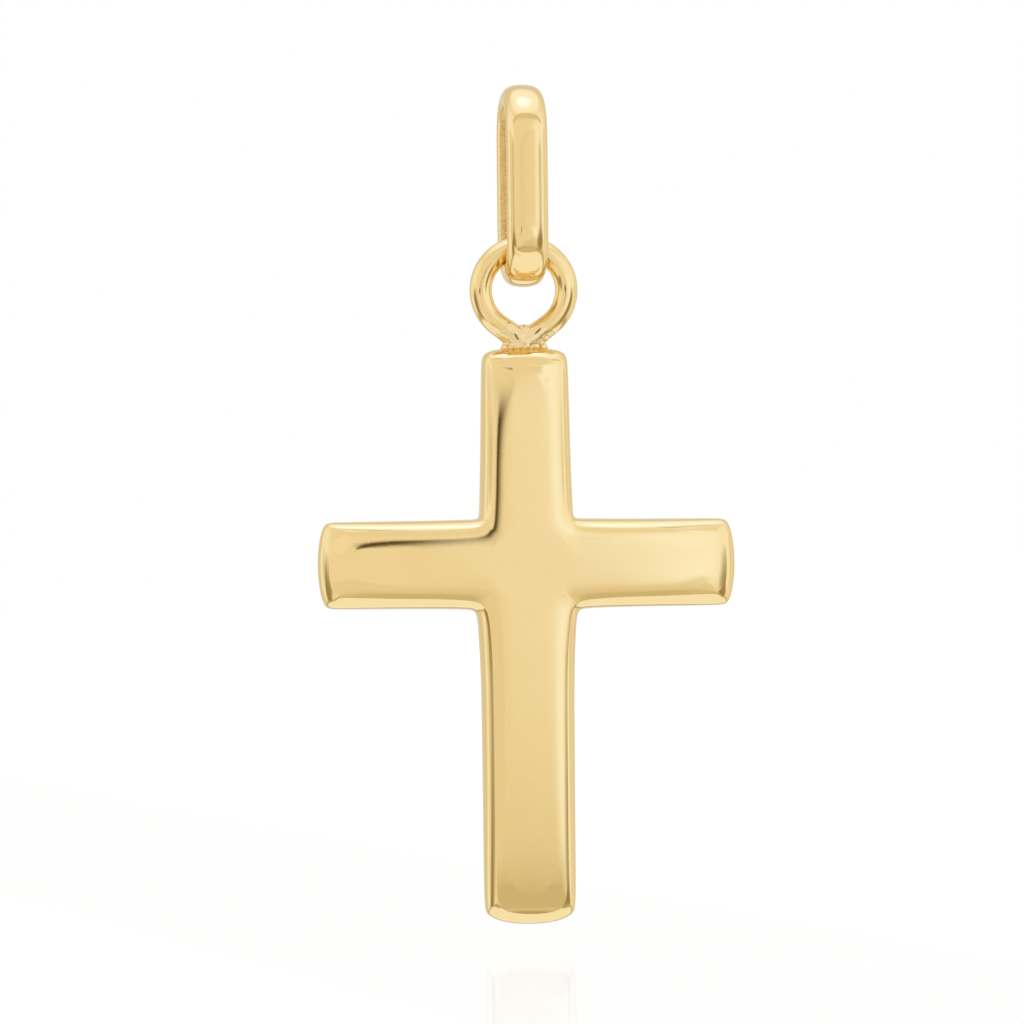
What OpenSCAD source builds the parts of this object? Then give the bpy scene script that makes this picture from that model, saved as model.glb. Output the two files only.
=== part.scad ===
// Cross pendant: a plain polished gold cross on a soldered wire loop, hanging in an oval slide bail.
// The origin is the inside top of the bail, where a chain carries it. +X is right, +Y back, +Z up.

/* [Cross] */
// Height of the cross from its top to its foot
cross_h = 23.06; // [18:0.01:32]
// Width across the crossbar
cross_w = 16.8; // [14:0.01:24]
// Thickness of the cross at the crossing
cross_t = 2.05; // [1.8:0.01:2.6]
// Thickness of the foot and of the crossbar at their ends
end_t = 1.25; // [1.1:0.01:1.7]
// Thickness of the upper arm at its end
top_end_t = 1.9; // [1.1:0.01:2.05]
// Distance from the top of the cross down to the middle of the crossbar
bar_drop = 8.65; // [7:0.01:10]
// Width of the upper arm at its end
top_end_w = 3.46; // [3.2:0.01:4.2]
// Width of the lower arm at its end
foot_end_w = 3.68; // [3.2:0.01:4.2]
// Height of the crossbar at its ends
bar_end_w = 3.47; // [3.2:0.01:4.2]
// Width of the upright where it crosses the bar
upright_w = 3.74; // [3.4:0.01:4.4]
// Height of the crossbar where it crosses the upright
bar_w = 3.55; // [3.4:0.01:4.4]
// Radius of the outward curve at the foot and at the ends of the crossbar
end_bow_r = 5.6; // [4:0.1:12]
// Radius of the outward curve at the top end
top_bow_r = 9; // [4:0.1:14]
// Radius of the rounded corners at the ends of the arms
corner_r = 0.4; // [0.2:0.01:0.6]
// Radius of the inner corners where the arms meet
inner_r = 0.2; // [0.15:0.01:0.6]
// Radius of the crease where it turns round an inner corner
crease_r = 1.05; // [0.6:0.01:1.4]

/* [Faces of the cross] */
// Width of the rounded side band, from the outline in to the crease
band_w = 0.4; // [0.25:0.01:0.5]
// Height of the crease above the middle plane, at the crossing
crease_h = 0.94; // [0.5:0.01:0.98]
// Width of the soft roll between the crease and the flat of the face
roll_w = 0.6; // [0.4:0.01:1]

/* [Loop] */
// Radius of the wire loop, to the middle of the wire
loop_r = 1.724; // [1.6:0.001:2.4]
// Diameter of the loop wire
wire_d = 0.904; // [0.6:0.001:0.95]
// Angle at which the two wire ends run down and together
leg_angle = 36; // [25:1:50]
// Depth of the top of the cross under the point where the wire ends meet
seat_drop = 0.17; // [0:0.01:0.3]
// Width of the solder between the loop and the cross
solder_w = 1.92; // [1.6:0.01:2.4]

/* [Bail] */
// Height of the bail
bail_h = 8.12; // [7:0.01:12]
// Depth of the bail from front to back
bail_depth = 4.3; // [3.5:0.01:5.4]
// Width of the band that the bail is bent from
bail_w = 1.66; // [1.3:0.01:1.8]
// Thickness of the band
bail_wall = 0.95; // [0.8:0.01:1.1]
// Radius of the crown across the outside of the band
crown_r = 1.8; // [1.4:0.01:4]
// Radius of the band's outer edges
edge_r = 0.38; // [0.2:0.01:0.4]
// Radius of the band's inner edges
inner_edge_r = 0.3; // [0.1:0.01:0.35]
// Gap between the loop and the bail where the loop hangs
hang_gap = 0.05; // [0.03:0.01:0.1]

/* [Hidden] */
$fn = 64;

gold = [0.87, 0.72, 0.42];
solder_gold = [0.84, 0.68, 0.38];

// Bail: two half round ends, joined by straight walls at the front and the back
bail_in_r = bail_depth / 2 - bail_wall;
bail_floor = -(bail_h - 2 * bail_wall);
bail_top_z = -bail_in_r;
bail_foot_z = bail_floor + bail_in_r;
// The outer edge circles lie inside the crown circle and touch it
edge_y = bail_w / 2 - edge_r;
edge_x = bail_wall - crown_r + sqrt(pow(crown_r - edge_r, 2) - pow(edge_y, 2));
edge_turn = asin(edge_y / (crown_r - edge_r));
inner_edge_y = bail_w / 2 - inner_edge_r;

// Loop: hangs on the inner edges of the bail's floor, hang_gap clear of them
loop_in_r = loop_r - wire_d / 2;
loop_z = bail_floor - inner_edge_r
    - sqrt(pow(loop_in_r - inner_edge_r - hang_gap, 2) - pow(inner_edge_y, 2));
leg_len = loop_r * tan(leg_angle);
legs_meet_z = loop_z - loop_r / cos(leg_angle);
// Solder thickens the straight ends by this, and they lap the round part by leg_lap
leg_solder = 0.02;
leg_lap = 0.05;

// Cross: heights in the frame of the bail
cross_top_z = legs_meet_z - seat_drop;
bar_z = cross_top_z - bar_drop;
solder_r = 0.34;
solder_core_r = 0.46;
solder_up = 0.13;
solder_core_up = 0.3;

// One row for each arm, anticlockwise from the right one:
// direction, length from the crossing, root width, end width, end bow radius, flare at the root,
// thickness at the end
ARMS = [
    [0, cross_w / 2, bar_w, bar_end_w, end_bow_r, 0.03, end_t],
    [90, bar_drop, upright_w, top_end_w, top_bow_r, 0.04, top_end_t],
    [180, cross_w / 2, bar_w, bar_end_w, end_bow_r, 0.03, end_t],
    [270, cross_h - bar_drop, upright_w, foot_end_w, end_bow_r, 0.12, end_t]
];
flare_len = 0.8;
least_corner_r = 0.03;
corner_steps = 4;
inner_steps = 6;
end_steps = 8;
edge_steps = 7;

function next(i) = (i + 1) % 4;
function prior(i) = (i + 3) % 4;

// Half width of arm i at distance s from the crossing, on the ring that lies u inside the outline
function half_width(i, s, u) =
    let (a = ARMS[i], s0 = ARMS[next(i)][2] / 2 + inner_r)
    a[2] / 2 + (a[3] - a[2]) / 2 * s / a[1]
        + a[5] * exp(-max(s - s0, 0) / flare_len) - u;

function root_half(i, u) = half_width(i, ARMS[next(i)][2] / 2 + inner_r, u);

// Outer corner of arm i on ring u: its radius, its centre and the turn of the end bow there
function corner_rad(u) = max(corner_r - u, least_corner_r);
function corner_t(i, u) = half_width(i, ARMS[i][1] - corner_r, u) - corner_rad(u);
function corner_s(i, u) =
    let (a = ARMS[i], reach = a[4] - u - corner_rad(u))
    a[1] - a[4] + sqrt(pow(reach, 2) - pow(corner_t(i, u), 2));
function bow_turn(i, u) =
    atan2(corner_t(i, u), corner_s(i, u) - (ARMS[i][1] - ARMS[i][4]));

// Radius of the inner corner on ring u: it grows from inner_r at the outline to crease_r at the crease
function turn_rad(u) = u < band_w ? inner_r + (crease_r - inner_r) * u / band_w : crease_r + u - band_w;

// Points [s, t] of the two long edges of arm i, the side -1 running outwards and the side 1 inwards
function edge_start(i, side, u) =
    root_half(side < 0 ? prior(i) : next(i), u) + turn_rad(u);
function edge_point(i, side, k, u) =
    let (
        from = edge_start(i, side, u),
        to = corner_s(i, u),
        s = from + (to - from) * pow(k / edge_steps, 1.3)
    )
    [s, side * half_width(i, s, u)];
function corner_point(i, side, k, u) =
    let (turn = bow_turn(i, u), a = 90 + (turn - 90) * k / corner_steps)
    [corner_s(i, u) + corner_rad(u) * cos(a), side * (corner_t(i, u) + corner_rad(u) * sin(a))];
function end_point(i, k, u) =
    let (a = ARMS[i], turn = bow_turn(i, u) * (2 * k / end_steps - 1))
    [a[1] - a[4] + (a[4] - u) * cos(turn), (a[4] - u) * sin(turn)];
// Inner corner between arm i and the next one
function inner_point(i, k, u) =
    let (
        r = turn_rad(u),
        a = -90 - 90 * k / inner_steps,
        s = root_half(next(i), u) + r,
        t = root_half(i, u) + r
    )
    [s + r * cos(a), t + r * sin(a)];

// One arm's share of a ring: outer edge points, end and inner corner, in order
function arm_ring(i, u) = concat(
    [for (k = [0 : edge_steps - 1]) edge_point(i, -1, k, u)],
    [for (k = [0 : corner_steps]) corner_point(i, -1, k, u)],
    [for (k = [1 : end_steps - 1]) end_point(i, k, u)],
    [for (k = [corner_steps : -1 : 0]) corner_point(i, 1, k, u)],
    [for (k = [edge_steps - 1 : -1 : 0]) edge_point(i, 1, k, u)],
    [for (k = [1 : inner_steps - 1]) inner_point(i, k, u)]
);
arm_count = 2 * edge_steps + 2 * (corner_steps + 1) + end_steps - 1 + inner_steps - 1;
ring_count = 4 * arm_count;

// The arms thin towards their ends: share of the thickness left at distance s along arm i
thinning_power = 4;
function share(i, s) = 1 - (1 - ARMS[i][6] / cross_t) * pow(s / ARMS[i][1], thinning_power);

function ring(u, h) = [
    for (i = [0 : 3], p = arm_ring(i, u))
        let (d = ARMS[i][0])
        [
            p[0] * cos(d) - p[1] * sin(d),
            h * share(i, p[0]),
            bar_z + p[0] * sin(d) + p[1] * cos(d)
        ]
];

// Half section of the edge, from the outline to the flat: [inset, height above the middle plane]
band_steps = 5;
roll_steps = 3;
band_turn = 62;
function band_row(k) =
    let (a = band_turn * k / band_steps)
    [band_w * (1 - cos(a)) / (1 - cos(band_turn)), crease_h * sin(a) / sin(band_turn)];
function roll_row(k) =
    let (f = k / roll_steps)
    [band_w + roll_w * f, crease_h + (cross_t / 2 - crease_h) * (1 - pow(1 - f, 2))];
HALF_SECTION = concat(
    [for (k = [0 : band_steps]) band_row(k)],
    [for (k = [1 : roll_steps]) roll_row(k)]
);
half_count = len(HALF_SECTION);
// The rings from the back flat, round the outline, to the front flat
SECTION = concat(
    [for (k = [half_count - 1 : -1 : 1]) [HALF_SECTION[k][0], HALF_SECTION[k][1]]],
    [for (k = [0 : half_count - 1]) [HALF_SECTION[k][0], -HALF_SECTION[k][1]]]
);
section_count = len(SECTION);

function wall_faces(r, k) =
    let (
        n = (k + 1) % ring_count,
        a = r * ring_count + k,
        b = r * ring_count + n,
        c = (r + 1) * ring_count + n,
        d = (r + 1) * ring_count + k
    )
    [[a, c, b], [a, d, c]];

// A flat is closed by strips across each arm, a fan at each end and a fan round the middle
function flat_strips(first) = [
    for (i = [0 : 3], k = [0 : edge_steps - 1])
        let (
            o = first + i * arm_count,
            last = 2 * edge_steps + 2 * (corner_steps + 1) + end_steps - 2,
            p = o + k,
            q = o + k + 1,
            r = o + last - k - 1,
            t = o + last - k
        )
        each [[p, q, r], [p, r, t]]
];
function flat_ends(first) = [
    for (i = [0 : 3], k = [1 : 2 * corner_steps + end_steps - 1])
        let (o = first + i * arm_count + edge_steps)
        [o, o + k, o + k + 1]
];
function flat_middle(first, centre) = [
    for (i = [0 : 3])
        let (
            o = first + i * arm_count,
            last = 2 * edge_steps + 2 * (corner_steps + 1) + end_steps - 2
        )
        each concat(
            [[centre, o, o + last]],
            [for (k = [last : arm_count - 1]) [
                centre,
                o + k,
                k == arm_count - 1 ? first + next(i) * arm_count : o + k + 1
            ]]
        )
];
function flat(first, centre) =
    concat(flat_strips(first), flat_ends(first), flat_middle(first, centre));
function reversed(faces) = [for (f = faces) [f[2], f[1], f[0]]];

module cross_body() {
    back_centre = section_count * ring_count;
    front_first = (section_count - 1) * ring_count;
    polyhedron(
        points = concat(
            [for (row = SECTION) each ring(row[0], row[1])],
            [[0, cross_t / 2, bar_z], [0, -cross_t / 2, bar_z]]
        ),
        faces = concat(
            [for (r = [0 : section_count - 2], k = [0 : ring_count - 1]) each wall_faces(r, k)],
            flat(0, back_centre),
            reversed(flat(front_first, back_centre + 1))
        )
    );
}

// One straight end of the loop's wire, thickened a little by solder: side 1 is right, -1 is left
module wire_leg(side) {
    intersection() {
        translate([side * loop_r * sin(leg_angle), 0, loop_z - loop_r * cos(leg_angle)])
            rotate([0, -side * (90 + leg_angle), 0])
                translate([0, 0, -leg_lap])
                    cylinder(d = wire_d + leg_solder, h = leg_lap + leg_len + wire_d);
        translate([side > 0 ? 0 : -2 * loop_r, -wire_d, loop_z - 2 * loop_r])
            cube([2 * loop_r, 2 * wire_d, 2 * loop_r]);
    }
}

module wire_loop() {
    translate([0, 0, loop_z])
        rotate([90, 0, 0])
            rotate([0, 0, leg_angle - 90])
                rotate_extrude(angle = 360 - 2 * leg_angle)
                    translate([loop_r, 0])
                        circle(d = wire_d);
    wire_leg(1);
    wire_leg(-1);
}

module solder() {
    hull() {
        for (side = [-1, 1])
            translate([side * (solder_w / 2 - solder_r), 0, cross_top_z + solder_up])
                sphere(solder_r, $fn = 24);
        translate([0, 0, cross_top_z + solder_core_up])
            sphere(solder_core_r, $fn = 24);
    }
}

module cross() {
    color(gold) {
        cross_body();
        wire_loop();
    }
    color(solder_gold) solder();
}

// Section of the band: x runs outwards from its inner face, y across its width
module bail_section() {
    intersection() {
        translate([bail_wall - crown_r, 0])
            circle(crown_r, $fn = 128);
        polygon([
            [bail_wall - crown_r, 0],
            [bail_wall - crown_r + 2 * crown_r * cos(edge_turn), -2 * crown_r * sin(edge_turn)],
            [bail_wall - crown_r + 2 * crown_r * cos(edge_turn), 2 * crown_r * sin(edge_turn)]
        ]);
        translate([0, -bail_w])
            square([2 * bail_wall, 2 * bail_w]);
    }
    for (side = [-1, 1]) {
        translate([edge_x, side * edge_y])
            circle(edge_r, $fn = 64);
        translate([inner_edge_r, side * inner_edge_y])
            circle(inner_edge_r, $fn = 64);
    }
    tangent_x = edge_x + edge_r * cos(edge_turn);
    tangent_y = edge_y + edge_r * sin(edge_turn);
    polygon([
        [0, -inner_edge_y],
        [inner_edge_r, -bail_w / 2],
        [edge_x, -bail_w / 2],
        [tangent_x, -tangent_y],
        [tangent_x, tangent_y],
        [edge_x, bail_w / 2],
        [inner_edge_r, bail_w / 2],
        [0, inner_edge_y]
    ]);
}

// Half round end of the bail; it starts at the front wall and passes the top or the foot
module bail_end(z, start) {
    translate([0, 0, z])
        rotate([0, 90, 0])
            rotate([0, 0, start])
                rotate_extrude(angle = 180, $fn = 96)
                    translate([bail_in_r, 0])
                        bail_section();
}

module bail_side() {
    translate([0, 0, bail_foot_z])
        rotate([0, 0, 90])
            linear_extrude(bail_top_z - bail_foot_z)
                translate([bail_in_r, 0])
                    bail_section();
}

module bail() {
    color(gold) {
        bail_end(bail_top_z, 90);
        bail_end(bail_foot_z, -90);
        bail_side();
        mirror([0, 1, 0]) bail_side();
    }
}

bail();
cross();
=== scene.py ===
import math
import bmesh
import bpy
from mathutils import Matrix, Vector


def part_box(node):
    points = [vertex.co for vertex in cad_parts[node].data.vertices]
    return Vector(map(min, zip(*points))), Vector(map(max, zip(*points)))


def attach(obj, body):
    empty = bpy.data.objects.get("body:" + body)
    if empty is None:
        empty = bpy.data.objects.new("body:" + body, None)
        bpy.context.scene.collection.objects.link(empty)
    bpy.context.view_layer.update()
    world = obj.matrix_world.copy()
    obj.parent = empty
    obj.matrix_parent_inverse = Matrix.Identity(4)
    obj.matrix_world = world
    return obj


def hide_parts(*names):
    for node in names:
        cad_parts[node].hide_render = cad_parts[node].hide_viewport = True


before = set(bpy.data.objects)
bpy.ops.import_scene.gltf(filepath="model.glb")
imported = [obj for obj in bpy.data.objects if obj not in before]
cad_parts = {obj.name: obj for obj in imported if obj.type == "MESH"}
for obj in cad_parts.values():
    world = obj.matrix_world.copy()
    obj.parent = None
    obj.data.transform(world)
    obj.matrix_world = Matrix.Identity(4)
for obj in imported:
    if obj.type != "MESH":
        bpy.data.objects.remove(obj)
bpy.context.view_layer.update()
bpy.ops.object.select_all(action="DESELECT")

# The pieces are modelled in millimetres, as the frame's sizes are read, and brought to metres at the end.
# Every size in the dictionaries is in millimetres, and every angle in degrees
mm = 0.001
same = 0.0001  # places nearer than this are one place
smoothLevels = 3  # how many times a cage is divided
crossLow, crossHigh = (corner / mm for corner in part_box("cross"))
bailLow, bailHigh = (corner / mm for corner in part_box("bail"))
print("frame read: cross", tuple(round(v, 3) for v in crossLow), tuple(round(v, 3) for v in crossHigh))


# Hand tools: what a maker does with the mouse, with the selection made by place

def pick(kind, test):
    # selects the vertices, edges or faces whose place passes the test, and nothing else
    mesh = bmesh.from_edit_mesh(bpy.context.object.data)
    bpy.ops.mesh.select_mode(type=kind)
    bpy.ops.mesh.select_all(action="DESELECT")
    if kind == "VERT":
        for vert in mesh.verts:
            vert.select_set(bool(test(vert.co)))
    if kind == "EDGE":
        for edge in mesh.edges:
            edge.select_set(all(test(vert.co) for vert in edge.verts))
    if kind == "FACE":
        for face in mesh.faces:
            face.select_set(bool(test(face.calc_center_median())))
    bmesh.update_edit_mesh(bpy.context.object.data)


def move(offset, test=None):
    if test:
        pick("VERT", test)
    bpy.ops.transform.translate(value=offset)


def stretch(factors, centre, test=None):
    if test:
        pick("VERT", test)
    bpy.ops.transform.resize(value=factors, center_override=centre)


def extrude(offset):
    bpy.ops.mesh.extrude_region_move(TRANSFORM_OT_translate={"value": offset})


def cut(point, normal, clear=False):
    bpy.ops.mesh.select_all(action="SELECT")
    bpy.ops.mesh.bisect(plane_co=point, plane_no=normal, clear_outer=clear, threshold=same / 10)


def addModifier(kind, **settings):
    modifier = bpy.context.object.modifiers.new(kind.lower(), kind)
    for key, value in settings.items():
        setattr(modifier, key, value)
    bpy.ops.object.modifier_apply(modifier=modifier.name)


def finishPiece(name, body, node, *materials):
    # brings the open piece to metres, with its object at the origin, and hangs it on its body
    piece = bpy.context.object
    bpy.ops.object.mode_set(mode="EDIT")
    bpy.ops.mesh.select_all(action="SELECT")
    bpy.ops.mesh.normals_make_consistent(inside=False)
    bpy.ops.transform.resize(value=(mm, mm, mm), center_override=(0, 0, 0))
    bpy.ops.object.mode_set(mode="OBJECT")
    bpy.ops.object.shade_smooth()
    piece.name = name
    piece.data.name = name
    for material in materials:
        piece.data.materials.append(material)
    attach(piece, body)
    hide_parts(node)
    bpy.ops.object.select_all(action="DESELECT")
    print(name, "finished:", len(piece.data.polygons), "faces")


def rampNode(tree, value, low, high):
    node = tree.nodes.new("ShaderNodeMapRange")
    node.interpolation_type = "SMOOTHSTEP"
    node.inputs["From Min"].default_value = low
    node.inputs["From Max"].default_value = high
    tree.links.new(value, node.inputs["Value"])
    return node.outputs["Result"]


def mathNode(tree, operation, a, b):
    node = tree.nodes.new("ShaderNodeMath")
    node.operation = operation
    tree.links.new(a, node.inputs[0])
    tree.links.new(b, node.inputs[1])
    return node.outputs[0]


def bumpNode(tree, height, normal=None):
    # heights are in millimetres, and a second bump is laid over the normal of the first
    node = tree.nodes.new("ShaderNodeBump")
    node.inputs["Distance"].default_value = mm
    tree.links.new(height, node.inputs["Height"])
    if normal:
        tree.links.new(normal, node.inputs["Normal"])
    return node.outputs["Normal"]


# Camera: a long lens, level with the middle of the pendant and a little to its left
cameraSpec = {
    "azimuth": -7.0,
    "distance": 600.0,
    "frameWidth": 40.96,
    "sensor": 36.0,
    "roll": 0.62,
    "aimLeft": 0.556,
    "aimZ": -16.148,
    "clip": (10.0, 20000.0),
}


def buildCamera(spec):
    turn = math.radians(spec["azimuth"])
    away = Vector((math.sin(turn), -math.cos(turn), 0))
    right = Vector((math.cos(turn), math.sin(turn), 0))
    aim = Vector((0, 0, spec["aimZ"])) - right * spec["aimLeft"]
    bpy.ops.object.camera_add(location=(aim + away * spec["distance"]) * mm)
    camera = bpy.context.object
    camera.name = "productCamera"
    camera.rotation_euler = (-away).to_track_quat("-Z", "Y").to_euler()
    camera.rotation_euler.rotate_axis("Z", math.radians(-spec["roll"]))
    camera.data.sensor_width = spec["sensor"]
    camera.data.lens = spec["sensor"] * spec["distance"] / spec["frameWidth"]
    camera.data.clip_start = spec["clip"][0] * mm
    camera.data.clip_end = spec["clip"][1] * mm
    camera.data.dof.use_dof = False
    bpy.context.scene.camera = camera
    bpy.ops.object.select_all(action="DESELECT")
    print("camera placed, lens", round(camera.data.lens), "mm")


buildCamera(cameraSpec)

# Gold: one group gives every gold its uneven polish, and each material says how much of it shows
goldColours = {
    # warm, pale and deep tone of each alloy
    "gold": [(0.905, 0.675, 0.305, 1), (0.915, 0.697, 0.341, 1), (0.7, 0.42, 0.12, 1)],
    "solder": [(0.91, 0.7, 0.35, 1), (0.93, 0.745, 0.42, 1), (0.8, 0.54, 0.2, 1)],
    # painted shade: this dark tone stands for the shade in the solder's slits, the gaps between wire and
    # solder
    "slitShadeTone": [(0.2, 0.13, 0.03, 1), (0.26, 0.17, 0.05, 1), (0.1, 0.06, 0.02, 1)],
}
goldFinish = {
    # least roughness, how much of it is uneven, and the heights of the broad and the fine unevenness
    "polished": {"alloy": "gold", "rough": 0.04, "spread": 0.03, "wave": 0.006, "grain": 0.0004},
    "drawn": {"alloy": "gold", "rough": 0.03, "spread": 0.04, "wave": 0.006, "grain": 0.001,
              "marks": {"height": 0.02, "scale": 5, "detail": 2}},
    "soldered": {"alloy": "solder", "rough": 0.12, "spread": 0.2, "wave": 0.04, "grain": 0.001},
    # the cast finish is rough, and its dark deep tone is painted shade inside the bail
    "castAndShade": {"alloy": "gold", "rough": 0.24, "spread": 0.7, "wave": 0.02, "grain": 0.03},
    # painted shade: this finish paints the solder's slits dark
    "shadedSlit": {"alloy": "slitShadeTone", "rough": 0.5, "spread": 0.4, "wave": 0.02, "grain": 0.03, "metallic": 0.3},
}
polishSpec = {
    # scale for a millimetre and detail of the three noises
    "broad": (0.4, 1),
    "middle": (1.6, 3),
    "fine": (11, 4),
    # the deep tone starts where the fine noise is under the first value and is full under the second
    "deepSpots": (0.6, 0.3),
}


def buildPolish(spec):
    group = bpy.data.node_groups.new("unevenPolish", "ShaderNodeTree")
    for name in ("Warm", "Pale", "Deep"):
        group.interface.new_socket(name, in_out="INPUT", socket_type="NodeSocketColor")
    for name in ("Rough", "Spread", "Wave", "Grain"):
        group.interface.new_socket(name, in_out="INPUT", socket_type="NodeSocketFloat")
    group.interface.new_socket("Colour", in_out="OUTPUT", socket_type="NodeSocketColor")
    group.interface.new_socket("Roughness", in_out="OUTPUT", socket_type="NodeSocketFloat")
    group.interface.new_socket("Height", in_out="OUTPUT", socket_type="NodeSocketFloat")
    nodes, links = group.nodes, group.links
    given = nodes.new("NodeGroupInput")
    result = nodes.new("NodeGroupOutput")
    place = nodes.new("ShaderNodeTexCoord")
    size = nodes.new("ShaderNodeVectorMath")
    size.operation = "SCALE"
    size.inputs["Scale"].default_value = 1 / mm
    links.new(place.outputs["Object"], size.inputs[0])

    def noise(scale, detail):
        node = nodes.new("ShaderNodeTexNoise")
        node.inputs["Scale"].default_value = scale
        node.inputs["Detail"].default_value = detail
        links.new(size.outputs[0], node.inputs["Vector"])
        return node.outputs["Fac"]

    def join(operation, a, b):
        return mathNode(group, operation, a, b)

    broad, middle, fine = (noise(*spec[name]) for name in ("broad", "middle", "fine"))
    tone = nodes.new("ShaderNodeMix")
    tone.data_type = "RGBA"
    links.new(given.outputs["Warm"], tone.inputs["A"])
    links.new(given.outputs["Pale"], tone.inputs["B"])
    links.new(middle, tone.inputs["Factor"])
    # the deep tone comes in where the fine noise is low, as far as the spread allows
    deep = nodes.new("ShaderNodeMix")
    deep.data_type = "RGBA"
    links.new(given.outputs["Deep"], deep.inputs["B"])
    links.new(tone.outputs["Result"], deep.inputs["A"])
    deepSpots = join("MULTIPLY", rampNode(group, fine, *spec["deepSpots"]), given.outputs["Spread"])
    links.new(deepSpots, deep.inputs["Factor"])
    links.new(deep.outputs["Result"], result.inputs["Colour"])
    rough = join("ADD", given.outputs["Rough"], join("MULTIPLY", middle, given.outputs["Spread"]))
    links.new(rough, result.inputs["Roughness"])
    waves = join("MULTIPLY", broad, given.outputs["Wave"])
    grains = join("MULTIPLY", fine, given.outputs["Grain"])
    links.new(join("ADD", waves, grains), result.inputs["Height"])
    return group


def drawingMarks(tree, spec, centre):
    # the marks run along the wire: they change with the distance from the ring's middle and in depth
    nodes, links = tree.nodes, tree.links
    place = nodes.new("ShaderNodeTexCoord")
    shift = nodes.new("ShaderNodeVectorMath")
    shift.operation = "SUBTRACT"
    shift.inputs[1].default_value = centre * mm
    flat = nodes.new("ShaderNodeVectorMath")
    flat.operation = "MULTIPLY"
    flat.inputs[1].default_value = (1, 0, 1)
    length = nodes.new("ShaderNodeVectorMath")
    length.operation = "LENGTH"
    split = nodes.new("ShaderNodeSeparateXYZ")
    ringPlace = nodes.new("ShaderNodeCombineXYZ")
    marks = nodes.new("ShaderNodeTexNoise")
    marks.inputs["Scale"].default_value = spec["scale"] / mm
    marks.inputs["Detail"].default_value = spec["detail"]
    scale = nodes.new("ShaderNodeMath")
    scale.operation = "MULTIPLY"
    scale.inputs[1].default_value = spec["height"]
    links.new(place.outputs["Object"], shift.inputs[0])
    links.new(shift.outputs[0], flat.inputs[0])
    links.new(flat.outputs[0], length.inputs[0])
    links.new(shift.outputs[0], split.inputs[0])
    links.new(length.outputs["Value"], ringPlace.inputs["X"])
    links.new(split.outputs["Y"], ringPlace.inputs["Y"])
    links.new(ringPlace.outputs[0], marks.inputs["Vector"])
    links.new(marks.outputs["Fac"], scale.inputs[0])
    return scale.outputs[0]


def buildGold(name, group, amounts, centre=None):
    material = bpy.data.materials.new(name)
    material.use_nodes = True
    tree = material.node_tree
    shader = tree.nodes["Principled BSDF"]
    shader.inputs["Metallic"].default_value = amounts.get("metallic", 1)
    polish = tree.nodes.new("ShaderNodeGroup")
    polish.node_tree = group
    for key, colour in zip(("Warm", "Pale", "Deep"), goldColours[amounts["alloy"]]):
        polish.inputs[key].default_value = colour
    for key in ("rough", "spread", "wave", "grain"):
        polish.inputs[key.capitalize()].default_value = amounts[key]
    tree.links.new(polish.outputs["Colour"], shader.inputs["Base Color"])
    tree.links.new(polish.outputs["Roughness"], shader.inputs["Roughness"])
    normal = bumpNode(tree, polish.outputs["Height"])
    if "marks" in amounts:
        normal = bumpNode(tree, drawingMarks(tree, amounts["marks"], centre), normal)
    tree.links.new(normal, shader.inputs["Normal"])
    return material


goldPolish = buildPolish(polishSpec)
polishedGold = buildGold("polishedGold", goldPolish, goldFinish["polished"])
solderedGold = buildGold("solderedGold", goldPolish, goldFinish["soldered"])
castAndShadeGold = buildGold("castAndShadeGold", goldPolish, goldFinish["castAndShade"])
slitShadeGold = buildGold("slitShadeGold", goldPolish, goldFinish["shadedSlit"])
print("gold finishes:", ", ".join(goldFinish))

# Cross: a flat sheet in the middle plane, grown arm by arm, then raised in rings to the front face
crossSpec = {
    "uprightWidth": 3.74,
    "barWidth": 3.55,
    "topEndWidth": 3.46,
    "footEndWidth": 3.68,
    "barEndWidth": 3.47,
    "barDrop": 8.65,
    "height": 23.06,
    "thickness": 2.05,
    "endThickness": 1.25,
    "topEndThickness": 1.9,
    # the arms thin from this distance on, with this power of the distance
    "thinFrom": 2,
    "thinningPower": 4,
    # radius of the outward curve of the ends
    "endBow": 5.6,
    "topBow": 9.0,
    # each kind of arm: flare at its root, stations between root and end, rounding of its end's corners
    "bar": {"flare": 0.03, "stations": 2, "round": 0.03},
    "top": {"flare": 0.04, "stations": 2, "round": 0.07},
    "foot": {"flare": 0.12, "stations": 4, "round": 0.15},
    # the flare starts just past the root and fades over its length
    "flareFrom": 0.2,
    "flareLength": 0.8,
    # rows and columns of the sheet: how far its side cuts are from the middle, how far the first station is
    # from the root and the last one from the end, and the inner part of an arm
    "column": 0.3,
    "nearRun": 0.35,
    "cornerRun": 0.7,
    "innerPart": 1,
    # rings from the outline to the flat: inset and height above the middle plane
    "rings": [(0.02, 0.36), (0.16, 0.78), (0.4, 0.94), (0.55, 0.986), (0.75, 1.015), (1.0, 1.025)],
    "creaseRing": 2,
    # what belongs to an arm's end and to its sides when a ring is drawn in
    "endRow": 0.6,
    "rimReach": 0.2,
    "sideFrom": 0.45,
    # the polished roll is wider along the top of the left arm
    "leftTopRoll": 1.25,
    # how far each ring is drawn in at the corners of the arm ends, and pulled out at the inner corners
    "endPull": [0, 0, 0.05, 0.12, 0.2, 0.3],
    "cornerPull": [0.019, 0.156, 0.387, 0.427, 0.48, 0.548],
    # share of the end corners' rounding on the middle plane and on the first rings
    "roundShare": [1, 1, 0.7, 0.3],
    # how far from a corner its points are found
    "cornerReach": 0.1,
    "endReach": 0.2,
    "roundReach": 0.17,
    # the two lower inner corners are filed rounder: how far their points move out and the next ones aside,
    # where the next ones are, how far the filing reaches, where the side ends and the face starts, and how
    # much of the face's rings is smoothed
    "filed": 0.07,
    "filedAside": 0.22,
    "filedNext": (0.2, 0.5),
    "filedReach": 0.62,
    "faceFrom": 0.9,
    "faceSmoothing": 0.6,
}


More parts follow.
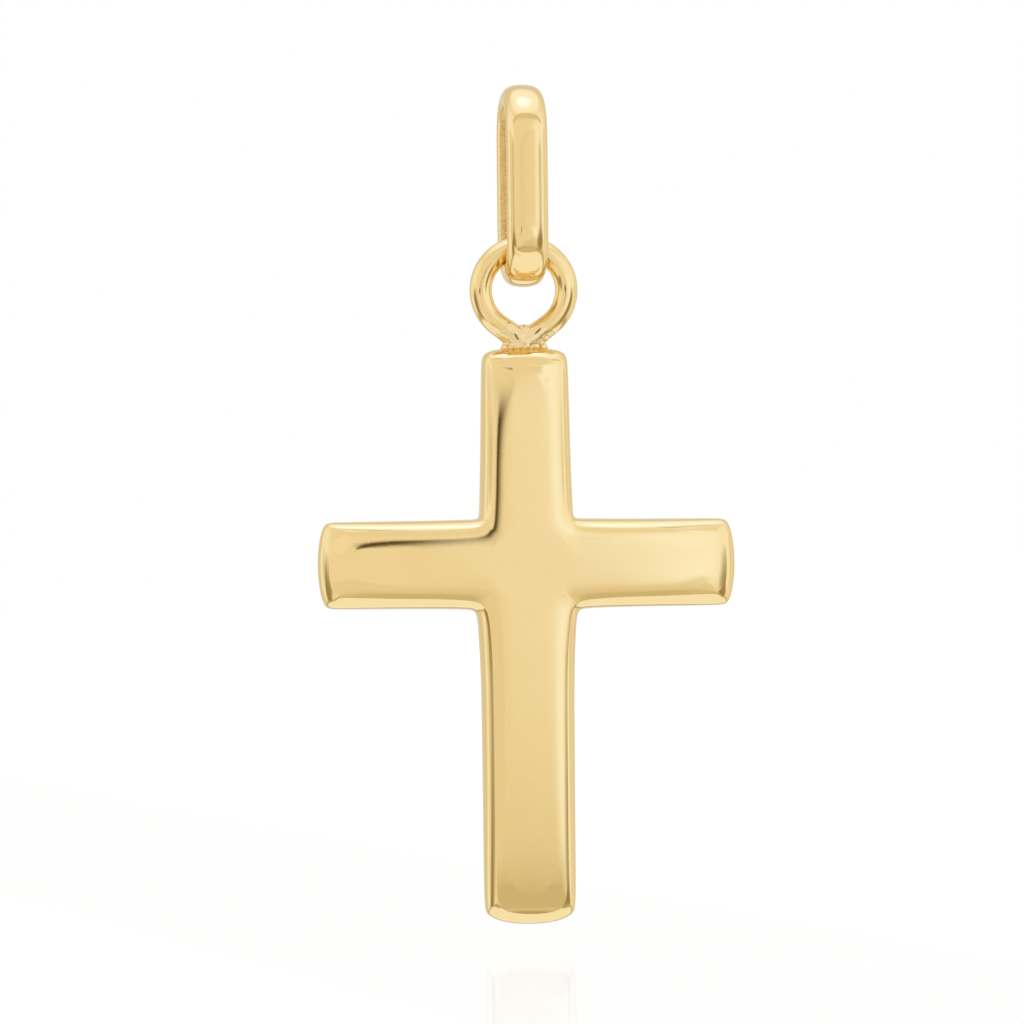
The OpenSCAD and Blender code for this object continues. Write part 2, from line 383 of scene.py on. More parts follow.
def crossArms(spec):
    bar = {"long": crossHigh.x, "root": spec["barWidth"], "end": spec["barEndWidth"], "bow": spec["endBow"],
           "across": spec["uprightWidth"], "thin": spec["endThickness"], **spec["bar"]}
    top = {"long": spec["barDrop"], "root": spec["uprightWidth"], "end": spec["topEndWidth"],
           "bow": spec["topBow"], "across": spec["barWidth"], "thin": spec["topEndThickness"], **spec["top"]}
    foot = {"long": spec["height"] - spec["barDrop"], "root": spec["uprightWidth"],
            "end": spec["footEndWidth"], "bow": spec["endBow"], "across": spec["barWidth"],
            "thin": spec["endThickness"], **spec["foot"]}
    return [
        {"way": Vector((1, 0, 0)), **bar},
        {"way": Vector((0, 0, 1)), **top},
        {"way": Vector((-1, 0, 0)), **bar},
        {"way": Vector((0, 0, -1)), **foot},
    ]


def buildCrossBody(spec, material):
    barZ = crossLow.z + spec["height"] - spec["barDrop"]
    centre = Vector((0, 0, barZ))
    column = spec["column"]
    arms = crossArms(spec)
    bars, uprights = arms[::2], arms[1::2]
    close = 0.02  # how near a point has to be to count as on a line
    stationReach = 0.0006  # a little more than half of the last digit of a rounded place

    def along(arm, co):
        return (co - centre).dot(arm["way"])

    def aside(arm, co):
        return abs((co - centre).cross(arm["way"]).y)

    def halfWidth(arm, distance):
        root = arm["across"] / 2 + spec["flareFrom"]
        fade = math.exp(-max(distance - root, 0) / spec["flareLength"])
        taper = (arm["end"] - arm["root"]) / 2 * distance / arm["long"]
        return arm["root"] / 2 + taper + arm["flare"] * fade

    def widen(arm, factor):
        # factors that act across the arm alone
        return (factor, 1, 1) if arm["way"].z else (1, 1, factor)

    # the crossing, facing the front, cut into four columns and four rows
    bpy.ops.mesh.primitive_plane_add(size=1, location=centre, rotation=(math.pi / 2, 0, 0))
    bpy.ops.object.transform_apply(location=True, rotation=True, scale=False)
    bpy.ops.object.mode_set(mode="EDIT")
    bpy.ops.mesh.select_all(action="SELECT")
    stretch((spec["uprightWidth"], 1, spec["barWidth"]), centre)
    for offset in (-column, 0, column):
        cut(centre + Vector((offset, 0, 0)), (1, 0, 0))
        cut(centre + Vector((0, 0, offset)), (0, 0, 1))

    for arm in arms:
        start = arm["across"] / 2
        near = start + spec["nearRun"]
        last = arm["long"] - spec["cornerRun"]
        step = (last - near) / (arm["stations"] + 1)
        stops = [near + step * n for n in range(arm["stations"] + 2)] + [arm["long"]]
        pick("EDGE", lambda co: abs(along(arm, co) - start) < close
             and aside(arm, co) < arm["root"] / 2 + close)
        for before, after in zip([start] + stops, stops):
            extrude(arm["way"] * (after - before))
        # taper and flare of the two long sides
        for stop in stops:
            factor = halfWidth(arm, stop) / (arm["root"] / 2)
            stretch(widen(arm, factor), centre,
                    lambda co: abs(along(arm, co) - stop) < close and aside(arm, co) > spec["innerPart"])
        # the end: its two inner points go out towards the corners, and it bows
        endHalf = halfWidth(arm, arm["long"])
        cornerColumn = endHalf - spec["cornerRun"]
        stretch(widen(arm, cornerColumn / column), centre,
                lambda co: abs(along(arm, co) - arm["long"]) < close
                and close < aside(arm, co) < spec["innerPart"])
        for offset in (endHalf, cornerColumn):
            drop = arm["bow"] - math.sqrt(arm["bow"] ** 2 - offset ** 2)
            move(arm["way"] * -drop,
                 lambda co: along(arm, co) > last + close and abs(aside(arm, co) - offset) < close)
        # the inner points of the last station make room for the rings
        room = spec["rings"][-1][0] + spec["cornerRun"] - spec["rings"][spec["creaseRing"]][0]
        move(arm["way"] * -(room - spec["cornerRun"]),
             lambda co: abs(along(arm, co) - last) < close and aside(arm, co) < spec["innerPart"])
        arm["endHalf"] = endHalf

    # the four inner corners follow the flared roots
    for bar in bars:
        bar["rootEdge"] = uprights[0]["root"] / 2
    for arm in uprights:
        rootHalf = halfWidth(arm, arm["across"] / 2)
        barHalf = halfWidth(bars[0], bars[0]["across"] / 2)
        pick("VERT", lambda co: abs(along(arm, co) - arm["across"] / 2) < close
             and abs(aside(arm, co) - arm["root"] / 2) < close)
        stretch((rootHalf / (arm["root"] / 2), 1, 1), centre)
        move(arm["way"] * (barHalf - arm["across"] / 2))
        arm["corner"] = Vector((rootHalf, 0, barHalf))
        arm["rootEdge"] = barHalf

    # rings: the sheet is extruded towards the front, which is -Y, and drawn in from its outline
    band = spec["rings"][spec["creaseRing"]][0]
    inset, height, pulled = 0, 0, 0
    for (nextInset, nextHeight), pull in zip(spec["rings"], spec["cornerPull"]):
        pick("FACE", lambda co: abs(co.y + height) < same)
        extrude((0, height - nextHeight, 0))

        def onSheet(co):
            return abs(co.y + nextHeight) < same

        onBand = inset < band - close
        slide = nextInset - inset
        for arm in arms:
            # the rows at the arm's end draw in along it
            endRow = arm["long"] - (spec["endRow"] if onBand else spec["cornerRun"] + inset - band + close)
            move(arm["way"] * -slide, lambda co: onSheet(co) and along(arm, co) > endRow)
            # and its two sides draw in across it
            across = Vector((arm["way"].z, 0, arm["way"].x))
            rootRow = arm["rootEdge"] - nextInset - close
            for side in (-1, 1):
                rim = arm["endHalf"] - inset - spec["rimReach"] if onBand else spec["sideFrom"]
                leftTop = arm["way"].x < 0 and side < 0
                wide = spec["leftTopRoll"] if leftTop and not onBand else 1
                move(across * -side * slide * wide,
                     lambda co: onSheet(co) and along(arm, co) > rootRow
                     and (co - centre).dot(across) * side > rim)
        # the sheet is pulled out a little at the four inner corners
        for arm in uprights:
            for side in (-1, 1):
                corner = Vector((side * (arm["corner"].x - nextInset), -nextHeight,
                                 barZ + arm["way"].z * (arm["corner"].z - nextInset)))
                out = Vector((side, 0, arm["way"].z)).normalized()
                move(out * (pull - pulled),
                     lambda co: (co - corner - out * pulled).length < spec["cornerReach"])
        inset, height, pulled = nextInset, nextHeight, pull

    def endCorners(inset, height):
        # the two corners of each arm's end on one ring, with the way back from each
        for arm in arms:
            across = Vector((arm["way"].z, 0, arm["way"].x))
            drop = arm["bow"] - math.sqrt(arm["bow"] ** 2 - arm["endHalf"] ** 2)
            for side in (-1, 1):
                corner = centre + arm["way"] * (arm["long"] - drop - inset)
                corner += across * side * (arm["endHalf"] - inset) - Vector((0, height, 0))
                yield arm, corner, -(arm["way"] + across * side).normalized()

    for ring, pull in zip(spec["rings"], spec["endPull"]):
        for arm, corner, back in endCorners(*ring):
            move(back * pull, lambda co: (co - corner).length < spec["endReach"])
    # the outline is rounder at the corners of the arm ends than the rings inside it
    for ring, share in zip([(0, 0)] + spec["rings"], spec["roundShare"]):
        for arm, corner, back in endCorners(*ring):
            move(back * arm["round"] * share, lambda co: (co - corner).length < spec["roundReach"])
    creaseHeight = spec["rings"][spec["creaseRing"]][1]
    pick("EDGE", lambda co: abs(co.y + creaseHeight) < same)
    bpy.ops.transform.edge_crease(value=1)
    bpy.ops.object.mode_set(mode="OBJECT")
    addModifier("MIRROR", use_axis=(False, True, False), use_clip=True, merge_threshold=same)
    print("cross cage:", len(bpy.context.object.data.polygons), "faces")

    # the points at the two lower inner corners move out on the side band, and the next ones away from them
    bpy.ops.object.mode_set(mode="EDIT")
    for side in (-1, 1):
        corner = centre + Vector((side * uprights[1]["corner"].x, 0, -uprights[1]["corner"].z))
        out = Vector((side, 0, -1)).normalized()

        def onSide(co, reach):
            return abs(co.y) < spec["faceFrom"] and (co - corner).xz.length < reach

        move(out * spec["filed"], lambda co: onSide(co, spec["cornerReach"]))
        low, high = spec["filedNext"]
        for away in (Vector((side, 0, 0)), Vector((0, 0, -1))):
            move(away * spec["filedAside"],
                 lambda co: low < (co - corner).dot(away) < high and onSide(co, spec["filedReach"]))
        # the rings of the face above them are smoothed
        pick("VERT", lambda co: abs(co.y) > spec["faceFrom"]
             and (co - corner).xz.length < spec["filedReach"])
        bpy.ops.mesh.vertices_smooth(factor=spec["faceSmoothing"], xaxis=True, yaxis=False, zaxis=True)

    # the arms thin towards their ends
    for arm in arms:
        mesh = bmesh.from_edit_mesh(bpy.context.object.data)
        places = {round(along(arm, vert.co), 3) for vert in mesh.verts
                  if along(arm, vert.co) > spec["thinFrom"]}
        for place in sorted(places):
            least = arm["thin"] / spec["thickness"]
            share = 1 - (1 - least) * (place / arm["long"]) ** spec["thinningPower"]
            stretch((1, share, 1), centre, lambda co: abs(along(arm, co) - place) < stationReach)
    bpy.ops.object.mode_set(mode="OBJECT")
    addModifier("SUBSURF", levels=smoothLevels, render_levels=smoothLevels)
    # smoothing draws the ends in a little: the arms fill their lengths again
    reach = max(vert.co.x for vert in bpy.context.object.data.vertices)
    foot = min(vert.co.z for vert in bpy.context.object.data.vertices)
    bpy.ops.object.mode_set(mode="EDIT")
    bpy.ops.mesh.select_all(action="SELECT")
    stretch((crossHigh.x / reach, 1, (crossLow.z - barZ) / (foot - barZ)), centre)
    finishPiece("crossBody", "cross", "cross", material)


buildCrossBody(crossSpec, polishedGold)

# Wire loop: a ring whose two ends run straight down to meet over the cross
loopSpec = {
    "radius": 1.724,
    "wire": 0.904,
    "legAngle": 36.0,
    "turns": 96,
    "sides": 48,
    "legParts": 4,
}
loopCentre = Vector((0, 0, crossHigh.z - loopSpec["radius"] - loopSpec["wire"] / 2))


def buildLoop(spec, centre, material):
    close = 5 * same  # how near a point has to be to count as on a cut
    wireRadius = spec["wire"] / 2
    angle = math.radians(spec["legAngle"])
    bpy.ops.mesh.primitive_torus_add(
        major_radius=spec["radius"], minor_radius=wireRadius, major_segments=spec["turns"],
        minor_segments=spec["sides"], location=centre, rotation=(math.pi / 2, 0, 0))
    bpy.ops.object.transform_apply(location=True, rotation=True, scale=False)
    bpy.ops.object.mode_set(mode="EDIT")
    cut(centre, (-1, 0, 0), clear=True)
    towards = Vector((-math.cos(angle), 0, -math.sin(angle)))
    cut(centre, towards, clear=True)
    pick("EDGE", lambda co: abs((co - centre).dot(towards)) < close)
    for part in range(spec["legParts"]):
        extrude(towards * (spec["radius"] * math.tan(angle) + wireRadius * 2) / spec["legParts"])
    cut(centre, (-1, 0, 0), clear=True)
    bpy.ops.object.mode_set(mode="OBJECT")
    addModifier("MIRROR", use_axis=(True, False, False), use_clip=True, merge_threshold=close)
    finishPiece("wireLoop", "cross", "cross", material)


drawnGold = buildGold("drawnGold", goldPolish, goldFinish["drawn"], loopCentre)
buildLoop(loopSpec, loopCentre, drawnGold)

# Solder: a lumpy neck that fills the joint and spreads on the top of the cross
solderSpec = {
    # rows from the foot up: height over the top of the cross, half width and half depth
    "rows": [(-0.12, 1.12, 0.52), (0.0, 1.06, 0.52), (0.12, 0.96, 0.5), (0.28, 0.9, 0.49), (0.46, 0.7, 0.47),
             (0.64, 0.5, 0.45), (0.8, 0.3, 0.4), (0.94, 0.16, 0.3)],
    # what it adds round the roots of the two legs: radius at the joint, radius where it ends, and sides
    "legs": (0.508, 0.446, 48),
    # beads: across, depth, height and radius, and how many sides and rings each has
    "beads": [(-0.76, -0.42, 0.14, 0.11), (0.66, -0.44, 0.17, 0.12), (0.86, -0.32, 0.34, 0.11),
              (-0.5, -0.5, 0.03, 0.06), (-0.2, -0.51, 0.02, 0.05), (0.1, -0.51, 0.03, 0.06),
              (0.36, -0.5, 0.02, 0.05), (0.55, 0.44, 0.1, 0.12), (-0.62, 0.42, 0.2, 0.13)],
    "beadSides": 16,
    "beadRings": 10,
    # slits: across, height, half length, half width and turn
    "slits": [(-0.36, 0.43, 0.15, 0.042, -60), (0.5, 0.64, 0.19, 0.036, 43)],
    "slitDepth": 0.004,
    # how finely it is melted together, how much and how often it is smoothed, and its lumps' height and size
    "voxel": 0.024,
    "smoothing": 0.5,
    "smoothings": 14,
    "lumps": 0.03,
    "lumpSize": 0.34,
}


def buildSolder(spec, *materials):
    topZ = crossLow.z + crossSpec["height"]
    height, width, depth = spec["rows"][0]
    bpy.ops.mesh.primitive_plane_add(size=2, location=(0, 0, topZ + height))
    bpy.ops.object.transform_apply(location=True, rotation=False, scale=False)
    bpy.ops.object.mode_set(mode="EDIT")
    bpy.ops.mesh.select_all(action="SELECT")
    stretch((width, depth, 1), (0, 0, topZ))
    for nextHeight, nextWidth, nextDepth in spec["rows"][1:]:
        extrude((0, 0, nextHeight - height))
        stretch((nextWidth / width, nextDepth / depth, 1), (0, 0, topZ))
        height, width, depth = nextHeight, nextWidth, nextDepth
    bpy.ops.mesh.select_all(action="SELECT")
    bpy.ops.mesh.normals_make_consistent(inside=False)
    bpy.ops.object.mode_set(mode="OBJECT")
    addModifier("SUBSURF", levels=smoothLevels, render_levels=smoothLevels)
    neck = bpy.context.object
    for material in materials:
        neck.data.materials.append(material)
    parts = []
    for x, y, z, radius in spec["beads"]:
        bpy.ops.mesh.primitive_uv_sphere_add(
            segments=spec["beadSides"], ring_count=spec["beadRings"], radius=radius,
            location=(x, y, topZ + z))
        parts.append(bpy.context.object)
    angle = math.radians(loopSpec["legAngle"])
    rootRadius, endRadius, sides = spec["legs"]
    for side in (-1, 1):
        along = Vector((side * math.cos(angle), 0, math.sin(angle)))
        long = loopSpec["radius"] * math.tan(angle)
        joint = loopCentre + Vector((0, 0, -loopSpec["radius"] / math.cos(angle)))
        bpy.ops.mesh.primitive_cone_add(
            vertices=sides, radius1=rootRadius, radius2=endRadius, depth=long,
            location=joint + along * long / 2, rotation=along.to_track_quat("Z", "Y").to_euler())
        parts.append(bpy.context.object)
    for piece in parts:
        piece.select_set(True)
    neck.select_set(True)
    bpy.context.view_layer.objects.active = neck
    bpy.ops.object.join()
    addModifier("REMESH", mode="VOXEL", voxel_size=spec["voxel"])
    addModifier("SMOOTH", factor=spec["smoothing"], iterations=spec["smoothings"])
    lumps = bpy.data.textures.new("solderLumps", "CLOUDS")
    lumps.noise_scale = spec["lumpSize"]
    addModifier("DISPLACE", texture=lumps, strength=spec["lumps"], mid_level=0.5, texture_coords="LOCAL")
    # the slits are shallow, and their dark colour is painted shade, as in deep gaps between wire and solder
    bpy.ops.object.mode_set(mode="EDIT")
    for x, z, long, wide, turn in spec["slits"]:
        turned = math.radians(turn)
        along = Vector((math.cos(turned), 0, math.sin(turned)))
        middle = Vector((x, 0, topZ + z))

        def inSlit(co):
            away = co - middle
            run = away.dot(along) / long
            side = (away - along * away.dot(along)).xz.length / wide
            return co.y < 0 and run * run + side * side < 1

        move((0, spec["slitDepth"], 0), inSlit)
        pick("FACE", inSlit)
        neck.active_material_index = 1
        bpy.ops.object.material_slot_assign()
    bpy.ops.object.mode_set(mode="OBJECT")
    finishPiece("solderNeck", "cross", "cross")


buildSolder(solderSpec, solderedGold, slitShadeGold)

# Bail: a crowned band, spun round the top, run down, spun round the foot and run up again
bailSpec = {
    "wall": 0.95,
    # height of the crown over the outer edges, and the share of it that the shoulders beside it have
    "crown": 0.2,
    "shoulder": 0.62,
    "edge": 0.3,
    "innerEdge": 0.28,
    "spinSteps": 16,
    "runSteps": 6,
    # share of the frame's size that the band fills
    "fill": 0.9999,
    # how far in from the sides the cast skin and its painted shade start, and how far up the wall they reach
    "skinEdge": 0.1,
    "skinDepth": 0.12,
}


def buildBail(spec, outside, inside):
    close = 0.01  # how near a point has to be to count as on a line
    outerRadius = bailHigh.y
    innerRadius = outerRadius - spec["wall"]
    halfBand = bailHigh.x
    topZ = bailHigh.z - outerRadius
    footZ = bailLow.z + outerRadius
    middle = -(innerRadius + outerRadius - spec["crown"]) / 2
    depth = spec["wall"] - spec["crown"]
    bpy.ops.mesh.primitive_plane_add(size=1, location=(0, middle, topZ))
    bpy.ops.object.transform_apply(location=True, rotation=False, scale=False)
    bpy.ops.object.mode_set(mode="EDIT")
    bpy.ops.mesh.select_all(action="SELECT")
    stretch((2 * halfBand, depth, 1), (0, middle, topZ))
    outerY = middle - depth / 2
    innerY = middle + depth / 2
    pick("VERT", lambda co: abs(co.y - outerY) < close)
    bpy.ops.mesh.bevel(affect="VERTICES", offset=spec["edge"], segments=2)
    pick("VERT", lambda co: abs(co.y - innerY) < close)
    bpy.ops.mesh.bevel(affect="VERTICES", offset=spec["innerEdge"], segments=2)
    pick("EDGE", lambda co: abs(co.y - outerY) < close)
    bpy.ops.mesh.subdivide(number_cuts=1)
    move((0, -spec["crown"], 0), lambda co: abs(co.y - outerY) < close and abs(co.x) < close)
    move((0, -spec["crown"] * spec["shoulder"], 0), lambda co: abs(co.y - outerY) < close)
    bpy.ops.mesh.select_all(action="SELECT")
    bpy.ops.mesh.delete(type="ONLY_FACE")
    bpy.ops.mesh.select_all(action="SELECT")
    bpy.ops.mesh.spin(steps=spec["spinSteps"], angle=math.pi, center=(0, 0, topZ), axis=(1, 0, 0))
    for part in range(spec["runSteps"]):
        extrude((0, 0, (footZ - topZ) / spec["runSteps"]))
    bpy.ops.mesh.spin(steps=spec["spinSteps"], angle=math.pi, center=(0, 0, footZ), axis=(1, 0, 0))
    for part in range(spec["runSteps"]):
        extrude((0, 0, (topZ - footZ) / spec["runSteps"]))
    bpy.ops.mesh.select_all(action="SELECT")
    bpy.ops.mesh.remove_doubles(threshold=close)
    bpy.ops.object.mode_set(mode="OBJECT")
    addModifier("SUBSURF", levels=smoothLevels, render_levels=smoothLevels)
    band = bpy.context.object
    # smoothing draws the band in a little: it fills its width and height again
    wide = max(vert.co.x for vert in band.data.vertices)
    deep = max(vert.co.y for vert in band.data.vertices)
    high = max(vert.co.z for vert in band.data.vertices)
    bpy.ops.object.mode_set(mode="EDIT")
    bpy.ops.mesh.select_all(action="SELECT")
    middleZ = (topZ + footZ) / 2
    fill = Vector((halfBand / wide, outerRadius / deep, (bailHigh.z - middleZ) / (high - middleZ)))
    stretch(fill * spec["fill"], (0, 0, middleZ))
    bpy.ops.object.mode_set(mode="OBJECT")
    # the inside of the band keeps the rough skin of the casting, and its darker tone is painted shade for
    # the gap between the walls
    band.data.materials.append(outside)
    band.data.materials.append(inside)

    def isInside(co):
        away = math.hypot(co.y, co.z - min(max(co.z, footZ), topZ))
        return abs(co.x) < halfBand - spec["skinEdge"] and away < innerRadius + spec["skinDepth"]

    bpy.ops.object.mode_set(mode="EDIT")
    pick("FACE", isInside)
    band.active_material_index = 1
    bpy.ops.object.material_slot_assign()
    bpy.ops.object.mode_set(mode="OBJECT")
    finishPiece("bailBand", "bail", "bail")


buildBail(bailSpec, polishedGold, castAndShadeGold)

# Floor: pale and faintly glossy, just under the foot
floorSpec = {
    "drop": 0.68,
    "size": 4000.0,
    "colour": (0.06, 0.06, 0.06, 1),
    "light": (1, 1, 1.005, 1),
    "glow": 1.03,
    "sheen": 0.2,
    "blur": 0.03,
    # the sheen fades to the sides, from one distance to the other
    "fade": (13.0, 20.0),
}


def buildFloor(spec):
    floorZ = (crossLow.z - spec["drop"]) * mm
    bpy.ops.mesh.primitive_plane_add(size=spec["size"] * mm, location=(0, 0, floorZ))
    floor = bpy.context.object
    floor.name = "paleFloor"
    material = bpy.data.materials.new("paleFloor")
    material.use_nodes = True
    nodes = material.node_tree.nodes
    links = material.node_tree.links
    shader = nodes["Principled BSDF"]
    shader.inputs["Base Color"].default_value = spec["colour"]
    shader.inputs["Roughness"].default_value = 1
    shader.inputs["Specular IOR Level"].default_value = 0
    shader.inputs["Emission Color"].default_value = spec["light"]
    shader.inputs["Emission Strength"].default_value = spec["glow"]
    gloss = nodes.new("ShaderNodeBsdfGlossy")
    gloss.inputs["Roughness"].default_value = spec["blur"]
    place = nodes.new("ShaderNodeTexCoord")
    split = nodes.new("ShaderNodeSeparateXYZ")
    aside = nodes.new("ShaderNodeMath")
    aside.operation = "ABSOLUTE"
    links.new(place.outputs["Object"], split.inputs["Vector"])
    links.new(split.outputs["X"], aside.inputs[0])
    amount = rampNode(material.node_tree, aside.outputs[0], spec["fade"][1] * mm, spec["fade"][0] * mm)
    amount.node.inputs["To Max"].default_value = spec["sheen"]
    mix = nodes.new("ShaderNodeMixShader")
    links.new(amount, mix.inputs["Fac"])
    links.new(shader.outputs[0], mix.inputs[1])
    links.new(gloss.outputs[0], mix.inputs[2])
    links.new(mix.outputs[0], nodes["Material Output"].inputs["Surface"])
    floor.data.materials.append(material)
    floor.visible_glossy = False
    bpy.ops.object.select_all(action="DESELECT")
    print("floor laid", spec["drop"], "mm under the foot")


buildFloor(floorSpec)

# Studio: white all round, with soft darker and brighter fields that the polish mirrors
studioSpec = {
    "white": 0.93,
    # a field's red and blue are its brightness to these powers
    "brightTone": (0.4, 2.2),
    "darkTone": (0.86, 1.5),
    # each field: azimuth and elevation of its middle, half angle, softness and brightness
    "fields": [
        {"azimuth": 180, "elevation": 0, "size": 56, "soft": 14, "level": 0.76},
        {"azimuth": -90, "elevation": 8, "size": 30, "soft": 14, "level": 1.08},
        {"azimuth": 24, "elevation": 8, "size": 14, "soft": 8, "level": 1.2},
        {"azimuth": 60, "elevation": 15, "size": 30, "soft": 14, "level": 1.1},
        {"azimuth": 6, "elevation": -25, "size": 14, "soft": 12, "level": 0.78},
        {"azimuth": -68, "elevation": -20, "size": 20, "soft": 8, "level": 0.32},
        {"azimuth": 48, "elevation": -16, "size": 16, "soft": 6, "level": 0.32},
        {"azimuth": -90, "elevation": 0, "size": 8, "soft": 6, "level": 0.84},
        {"azimuth": 90, "elevation": 0, "size": 8, "soft": 6, "level": 0.84},
        {"azimuth": 0, "elevation": 90, "size": 38, "soft": 10, "level": 1.2},
        {"azimuth": 0, "elevation": 85, "size": 13, "soft": 7, "level": 1.48},
        {"azimuth": 0, "elevation": -90, "size": 61, "soft": 5, "level": 0.46},
        {"azimuth": 0, "elevation": -90, "size": 53, "soft": 4, "level": 1.08},
    ],
    # a dark streak: two directions that it joins, its half length, the share of it that fades, its sharp
    # and its soft side, and its brightness
    "streak": {"from": (-20, -1), "to": (5, 9.5), "reach": 13, "fade": 0.4, "sharp": 4, "soft": 8,
               "level": 0.06},
}

# Cards in front of the pendant that only the gold sees. Most are nearly as white as the studio and keep the
# streak off the pieces that don't show it, and the darker ones give a softer tone to the pieces over and
# under them. Each has its distance, its edges (left, right, bottom, top), their softness and its cover
cardSpec = {
    "overBail": {"distance": 20, "edges": (-24.0, 12.0, -5.4, 9.0), "soft": (8.0, 6.0, 0.8, 6.0),
                 "level": 0.9, "cover": 0.93},
    "bailArc": {"distance": 20.5, "edges": (-50.0, 55.0, 13.0, 28.0), "soft": (20.0, 20.0, 6.0, 5.0),
                "level": 0.74, "cover": 1},
    "overArm": {"distance": 20.5, "edges": (-24.0, 4.0, -11.6, -7.6), "soft": (3.0, 3.0, 2.4, 0.3),
                "level": 0.9, "cover": 1},
    "overTop": {"distance": 20.2, "edges": (-0.6, 6.0, -9.0, -5.0), "soft": (1.0, 2.0, 0.6, 0.8),
                "level": 0.9, "cover": 1},
    "besideBail": {"distance": 20.3, "edges": (-11.0, -5.3, -6.8, -4.4), "soft": (1.5, 0.5, 0.5, 0.4),
                   "level": 0.9, "cover": 1},
    "underBail": {"distance": 20.4, "edges": (-4.7, -2.1, -7.0, -4.4), "soft": (0.5, 0.4, 0.8, 0.4),
                  "level": 0.9, "cover": 1},
    "leftEnd": {"distance": 12.5, "edges": (-24.0, -7.0, -20.0, -13.0), "soft": (2.0, 3.0, 1.0, 2.0),
                "level": 0.98, "cover": 1},
    "leftFace": {"distance": 12, "edges": (-22.0, -3.4, -20.2, -16.4), "soft": (2.0, 1.4, 1.0, 0.7),
                 "level": 0.93, "cover": 1},
    "underFoot": {"distance": 61, "edges": (-30.0, 40.0, -62.0, -36.0), "soft": (10.0, 16.0, 6.0, 8.0),
                  "level": 0.64, "cover": 1},
    "lowerArm": {"distance": 110, "edges": (-70.0, 4.0, -47.0, -15.2), "soft": (6.0, 11.0, 5.0, 2.2),
                 "level": 0.86, "cover": 1},
}


def direction(azimuth, elevation):
    turn, lift = math.radians(azimuth), math.radians(elevation)
    return Vector((math.sin(turn) * math.cos(lift), -math.cos(turn) * math.cos(lift), math.sin(lift)))


def studioTone(level):
    # dark fields are warmer and bright fields cooler, as a photograph records polished gold
    red, blue = studioSpec["brightTone"] if level > 1 else studioSpec["darkTone"]
    return (level ** red, level, level ** blue, 1)


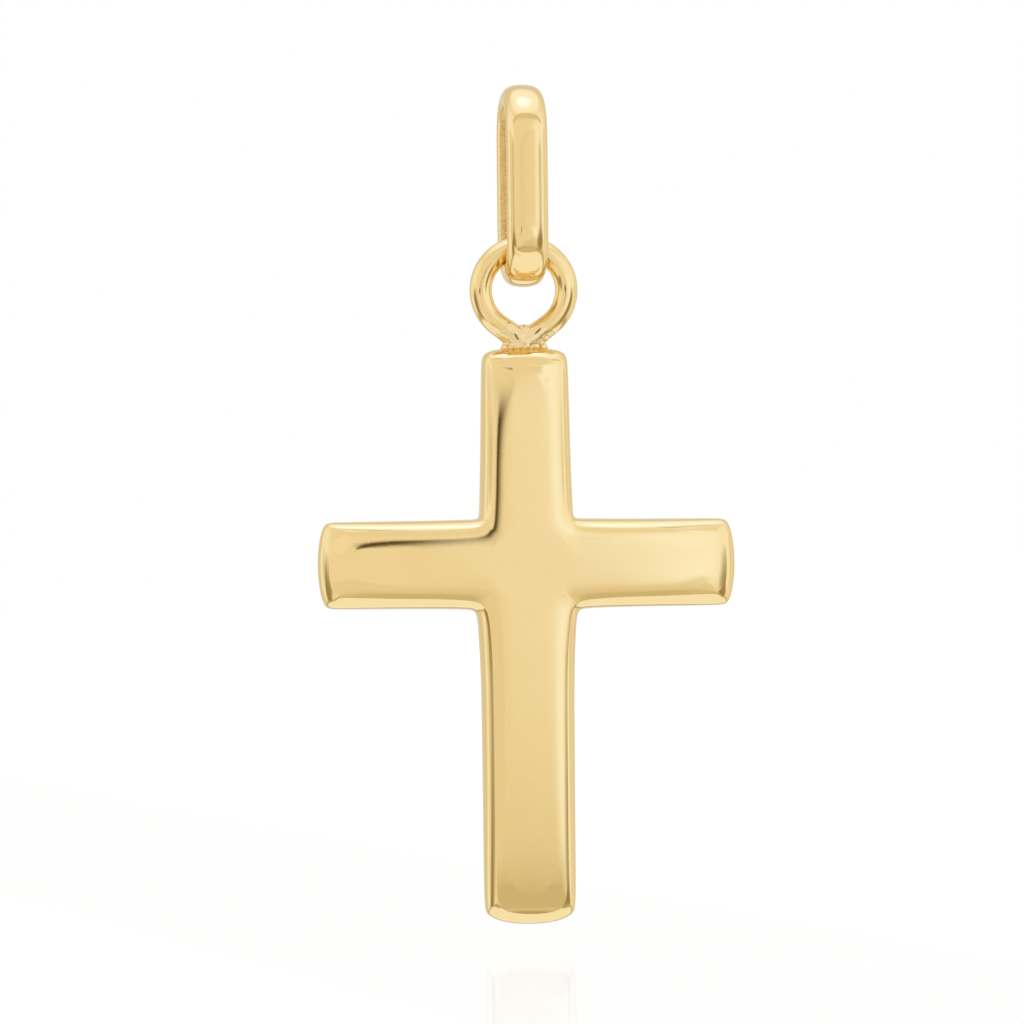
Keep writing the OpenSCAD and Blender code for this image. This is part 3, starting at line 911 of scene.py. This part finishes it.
def buildStudio(spec):
    world = bpy.data.worlds.new("whiteStudio")
    bpy.context.scene.world = world
    world.use_nodes = True
    tree = world.node_tree
    place = tree.nodes.new("ShaderNodeTexCoord")

    def blend(colour, amount, target):
        mix = tree.nodes.new("ShaderNodeMix")
        mix.data_type = "RGBA"
        tree.links.new(amount, mix.inputs["Factor"])
        if isinstance(colour, tuple):
            mix.inputs["A"].default_value = colour
        else:
            tree.links.new(colour, mix.inputs["A"])
        mix.inputs["B"].default_value = target
        return mix.outputs["Result"]

    def facing(axis):
        dot = tree.nodes.new("ShaderNodeVectorMath")
        dot.operation = "DOT_PRODUCT"
        tree.links.new(place.outputs["Generated"], dot.inputs[0])
        dot.inputs[1].default_value = axis
        return dot.outputs["Value"]

    def field(axis, size, soft):
        outer = math.cos(math.radians(size + soft))
        inner = math.cos(math.radians(max(size - soft, 0)))
        return rampNode(tree, facing(axis), outer, inner)

    colour = studioTone(spec["white"])
    for patch in spec["fields"]:
        axis = direction(patch["azimuth"], patch["elevation"])
        colour = blend(colour, field(axis, patch["size"], patch["soft"]), studioTone(patch["level"]))
    streak = spec["streak"]
    start, stop = direction(*streak["from"]), direction(*streak["to"])
    above = start.cross(stop).normalized()
    if above.z < 0:
        above.negate()
    side = facing(above)
    upper = rampNode(tree, side, math.sin(math.radians(streak["sharp"])), 0)
    lower = rampNode(tree, side, math.sin(math.radians(-streak["soft"])), 0)
    within = field((start + stop).normalized(), streak["reach"], streak["reach"] * streak["fade"])
    amount = mathNode(tree, "MULTIPLY", mathNode(tree, "MULTIPLY", upper, lower), within)
    colour = blend(colour, amount, studioTone(streak["level"]))
    # the camera sees plain white, and the gold sees the studio
    path = tree.nodes.new("ShaderNodeLightPath")
    seen = blend(colour, path.outputs["Is Camera Ray"], (1, 1, 1, 1))
    tree.links.new(seen, tree.nodes["Background"].inputs["Color"])
    bpy.context.scene.view_settings.view_transform = "Standard"
    print("studio lit with", len(spec["fields"]), "fields")


def buildCard(name, distance, edges, soft, level, cover):
    left, right, bottom, top = edges
    middle = Vector(((left + right) / 2, -distance, (bottom + top) / 2))
    bpy.ops.mesh.primitive_plane_add(size=1, location=middle * mm, rotation=(math.pi / 2, 0, 0))
    card = bpy.context.object
    card.name = name
    card.scale = ((right - left) * mm, (top - bottom) * mm, 1)
    bpy.ops.object.transform_apply(location=False, rotation=True, scale=True)
    material = bpy.data.materials.new(name)
    material.use_nodes = True
    tree = material.node_tree
    tree.nodes.clear()
    place = tree.nodes.new("ShaderNodeTexCoord")
    split = tree.nodes.new("ShaderNodeSeparateXYZ")
    tree.links.new(place.outputs["Object"], split.inputs["Vector"])
    halfX, halfZ = (right - left) / 2 * mm, (top - bottom) / 2 * mm
    # it fades at its left, right, bottom and top edge, and hides no more than its cover
    sides = [("X", -halfX, soft[0]), ("X", halfX, -soft[1]), ("Z", -halfZ, soft[2]), ("Z", halfZ, -soft[3])]
    amount = None
    for axis, edge, fade in sides:
        ramp = rampNode(tree, split.outputs[axis], edge, edge + fade * mm)
        amount = mathNode(tree, "MULTIPLY", amount, ramp) if amount else ramp
    ramp.node.inputs["To Max"].default_value = cover
    clear = tree.nodes.new("ShaderNodeBsdfTransparent")
    shown = tree.nodes.new("ShaderNodeEmission")
    shown.inputs["Color"].default_value = studioTone(level)
    mix = tree.nodes.new("ShaderNodeMixShader")
    output = tree.nodes.new("ShaderNodeOutputMaterial")
    tree.links.new(amount, mix.inputs["Fac"])
    tree.links.new(clear.outputs[0], mix.inputs[1])
    tree.links.new(shown.outputs[0], mix.inputs[2])
    tree.links.new(mix.outputs[0], output.inputs["Surface"])
    card.data.materials.append(material)
    card.visible_camera = False
    card.visible_diffuse = False
    card.visible_shadow = False
    bpy.ops.object.select_all(action="DESELECT")


buildStudio(studioSpec)
for cardName, card in cardSpec.items():
    buildCard(cardName + "Card", **card)
print("cards placed:", len(cardSpec))
